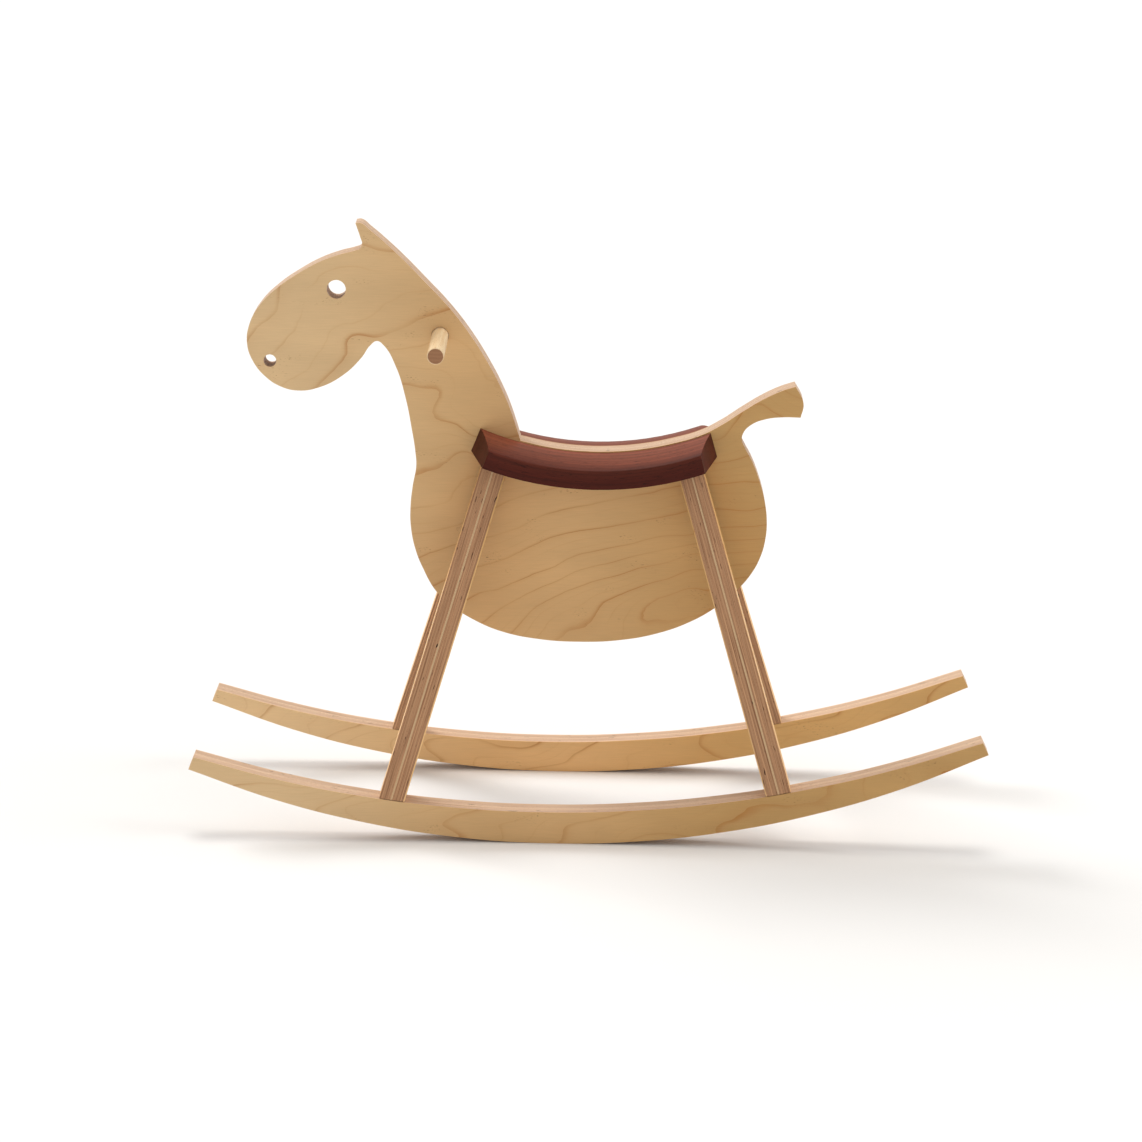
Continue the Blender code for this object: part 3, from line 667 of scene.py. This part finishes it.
def arc_space(tree):
    """Coordinates that follow the seat: round the arc, across it, and out from its centre."""
    centre = balanced() @ (Vector(SADDLE_CENTRE) * MM)
    place = add(tree, "Mapping", {"Vector": add(tree, "TexCoord", out="Object"),
                                  "Location": -centre})
    parts = add(tree, "SeparateXYZ", (place,)).node.outputs
    down = add(tree, "Math", (parts["Z"], -1.0), operation="MULTIPLY")
    angle = add(tree, "Math", (parts["X"], down), operation="ARCTAN2")
    round_arc = add(tree, "Math", (angle, SADDLE_RADIUS), operation="MULTIPLY")
    squares = add(tree, "Math", (down, down), operation="MULTIPLY")
    squares = add(tree, "Math", (parts["X"], parts["X"], squares), operation="MULTIPLY_ADD")
    out_from = add(tree, "Math", (squares,), operation="SQRT")
    return add(tree, "CombineXYZ", (round_arc, parts["Y"], out_from))


def oiled_walnut(name):
    """Solid walnut, sanded and oiled: deep red brown, with painted light on its crown."""
    material, tree, surface = new_material(name)
    vector = arc_space(tree)
    parts = add(tree, "SeparateXYZ", (vector,)).node.outputs
    across = add(tree, "Math", (parts["Y"],), operation="ABSOLUTE")
    path = add(tree, "Math", (across, parts["Z"]), operation="ADD")
    # Painted light: the crown, which faces up to the lamps, is drawn lighter than the sides and
    # ends.
    painted_top_light = add(tree, "MapRange", (path, *PAINTED_LIGHT_FADE), **SMOOTH)
    facing = add(tree, "SeparateXYZ", (add(tree, "TexCoord", out="Normal"),), out="X")
    facing = add(tree, "Math", (facing,), operation="ABSOLUTE")
    not_end = add(tree, "MapRange", (facing, *END_CUT), **SMOOTH)
    painted_lit_crown = add(tree, "Math", (painted_top_light, not_end), operation="MULTIPLY")
    wood = add(tree, "Mix", {FACTOR: painted_lit_crown, FIRST: WALNUT_SIDE, SECOND: WALNUT_PAINTED_LIT_CROWN}, **COLOUR)
    bands = grain(tree, vector, BAND_SIZE, 2.0, 4.0)
    bands = add(tree, "MapRange", (bands, NOISE_LOW, NOISE_HIGH, *BAND_TONES))
    wood = add(tree, "Mix", {FACTOR: 1.0, FIRST: wood, SECOND: bands}, **TINT)
    streaks = grain(tree, vector, DARK_STREAK_SIZE, 3.0, 6.0)
    streaks = add(tree, "MapRange", (streaks, NOISE_LOW, NOISE_HIGH, *DARK_STREAK_TONES))
    wood = add(tree, "Mix", {FACTOR: 1.0, FIRST: wood, SECOND: streaks}, **TINT)
    fibres = grain(tree, vector, WALNUT_FIBRE_SIZE, 3.0, 8.0)
    bright = add(tree, "MapRange", (fibres, NOISE_LOW, NOISE_HIGH, *WALNUT_FIBRE_TONES))
    wood = add(tree, "Mix", {FACTOR: 1.0, FIRST: wood, SECOND: bright}, **TINT)
    pores = grain(tree, vector, PORE_SIZE, 1.0, 9.0)
    pores = add(tree, "MapRange", (pores, *PORE_RANGE), **SMOOTH)
    wood = add(tree, "Mix", {FACTOR: pores, FIRST: wood, SECOND: WALNUT_PORE}, **COLOUR)
    tree.links.new(wood, surface["Base Color"])
    rough = add(tree, "MapRange", (fibres, 0.0, 1.0, *OIL_ROUGHNESS))
    tree.links.new(rough, surface["Roughness"])
    surface["Specular IOR Level"].default_value = OIL_SHEEN
    depth = add(tree, "Math", (fibres, pores), operation="SUBTRACT")
    bump = add(tree, "Bump", {"Height": depth, "Strength": FIBRE_RELIEF,
                              "Distance": FIBRE_HEIGHT})
    tree.links.new(bump, surface["Normal"])
    return material


walnut = oiled_walnut("oiled_walnut")
for side in SIDES:
    shape = merged_copy("seat_" + side)
    ease_edges(shape)
    finish_piece("seat_half_" + side, shape, "seat_" + side, walnut)

# %% [markdown]
# ## Beech dowels
# The handle is a length of turned beech rod, left bare and sanded smooth. Its side is pale cream
# with short darker dashes, the rays that mark beech. Its sawn ends show the end of the grain, which
# soaks up light and looks brown, with faint arcs of growth. The hidden dowels are cut from thinner
# rod of the same wood, so they take the same finish on their CAD nodes.
# %% Handle and hidden dowels
BEECH_PALE, BEECH_MID, BEECH_RAY = "#E3C8A0", "#D9B98D", "#BE9364"
BEECH_END, BEECH_END_RING = "#A47654", "#9A6E4E"
BEECH_SLOW_SIZE, BEECH_SLOW_RANGE = (4.0, 60.0, 4.0), (0.35, 0.65)   # mm; the rod runs along Y
RAY_SIZE, RAY_RANGE = (0.5, 4.0, 0.9), (0.62, 0.72)
RING_SCALE, RING_BEND = 90.0, 3.0   # a growth ring about every 3.5 mm, and how far it wanders
SPECK_SIZE, SPECK_RANGE = (0.5, 0.5, 0.5), (0.5, 0.8)           # coarser than beech's pores
ROD_END = (0.75, 0.9)               # how far it faces along the rod: its side, then its end
SANDED_ROUGHNESS, SANDED_SHEEN, SANDED_RELIEF = (0.5, 0.68), 0.3, 0.1
HANDLE_EDGE_ROUND = 0.4 * MM


def sanded_beech(name):
    """Bare beech rod, turned and sanded: pale, even and dull."""
    material, tree, surface = new_material(name)
    vector = board_space(tree, middle_of("handle_dowel"), (0.0, 0.0))
    slow = grain(tree, vector, BEECH_SLOW_SIZE, 2.0, 1.0)
    slow = add(tree, "MapRange", (slow, *BEECH_SLOW_RANGE), **SMOOTH)
    wood = add(tree, "Mix", {FACTOR: slow, FIRST: BEECH_PALE, SECOND: BEECH_MID}, **COLOUR)
    rays = grain(tree, vector, RAY_SIZE, 1.0, 2.0)
    rays = add(tree, "MapRange", (rays, *RAY_RANGE), **SMOOTH)
    wood = add(tree, "Mix", {FACTOR: rays, FIRST: wood, SECOND: BEECH_RAY}, **COLOUR)
    rings = add(tree, "TexWave", {"Vector": vector, "Scale": RING_SCALE, "Detail": 2.0,
                                  "Distortion": RING_BEND}, wave_type="BANDS",
                bands_direction="Z")
    end = add(tree, "Mix", {FACTOR: rings, FIRST: BEECH_END, SECOND: BEECH_END_RING}, **COLOUR)
    specks = grain(tree, vector, SPECK_SIZE, 2.0, 3.0)
    dark = add(tree, "MapRange", (specks, *SPECK_RANGE), **SMOOTH)
    end = add(tree, "Mix", {FACTOR: dark, FIRST: end, SECOND: BEECH_END_RING}, **COLOUR)
    facing = add(tree, "SeparateXYZ", (add(tree, "TexCoord", out="Normal"),), out="Y")
    facing = add(tree, "Math", (facing,), operation="ABSOLUTE")
    on_end = add(tree, "MapRange", (facing, *ROD_END), **SMOOTH)
    wood = add(tree, "Mix", {FACTOR: on_end, FIRST: wood, SECOND: end}, **COLOUR)
    tree.links.new(wood, surface["Base Color"])
    rough = add(tree, "MapRange", (specks, 0.0, 1.0, *SANDED_ROUGHNESS))
    tree.links.new(rough, surface["Roughness"])
    surface["Specular IOR Level"].default_value = SANDED_SHEEN
    bump = add(tree, "Bump", {"Height": specks, "Strength": SANDED_RELIEF,
                              "Distance": FIBRE_HEIGHT})
    tree.links.new(bump, surface["Normal"])
    return material


beech = sanded_beech("sanded_beech")
shape = merged_copy("handle_dowel")
ease_edges(shape, HANDLE_EDGE_ROUND)
finish_piece("handle_bar", shape, "handle_dowel", beech)
hidden = [node for name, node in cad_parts.items() if "_dowel_" in name]
for node in hidden:
    node.data.materials.clear()
    node.data.materials.append(beech)
print("hidden dowels in beech:", len(hidden))
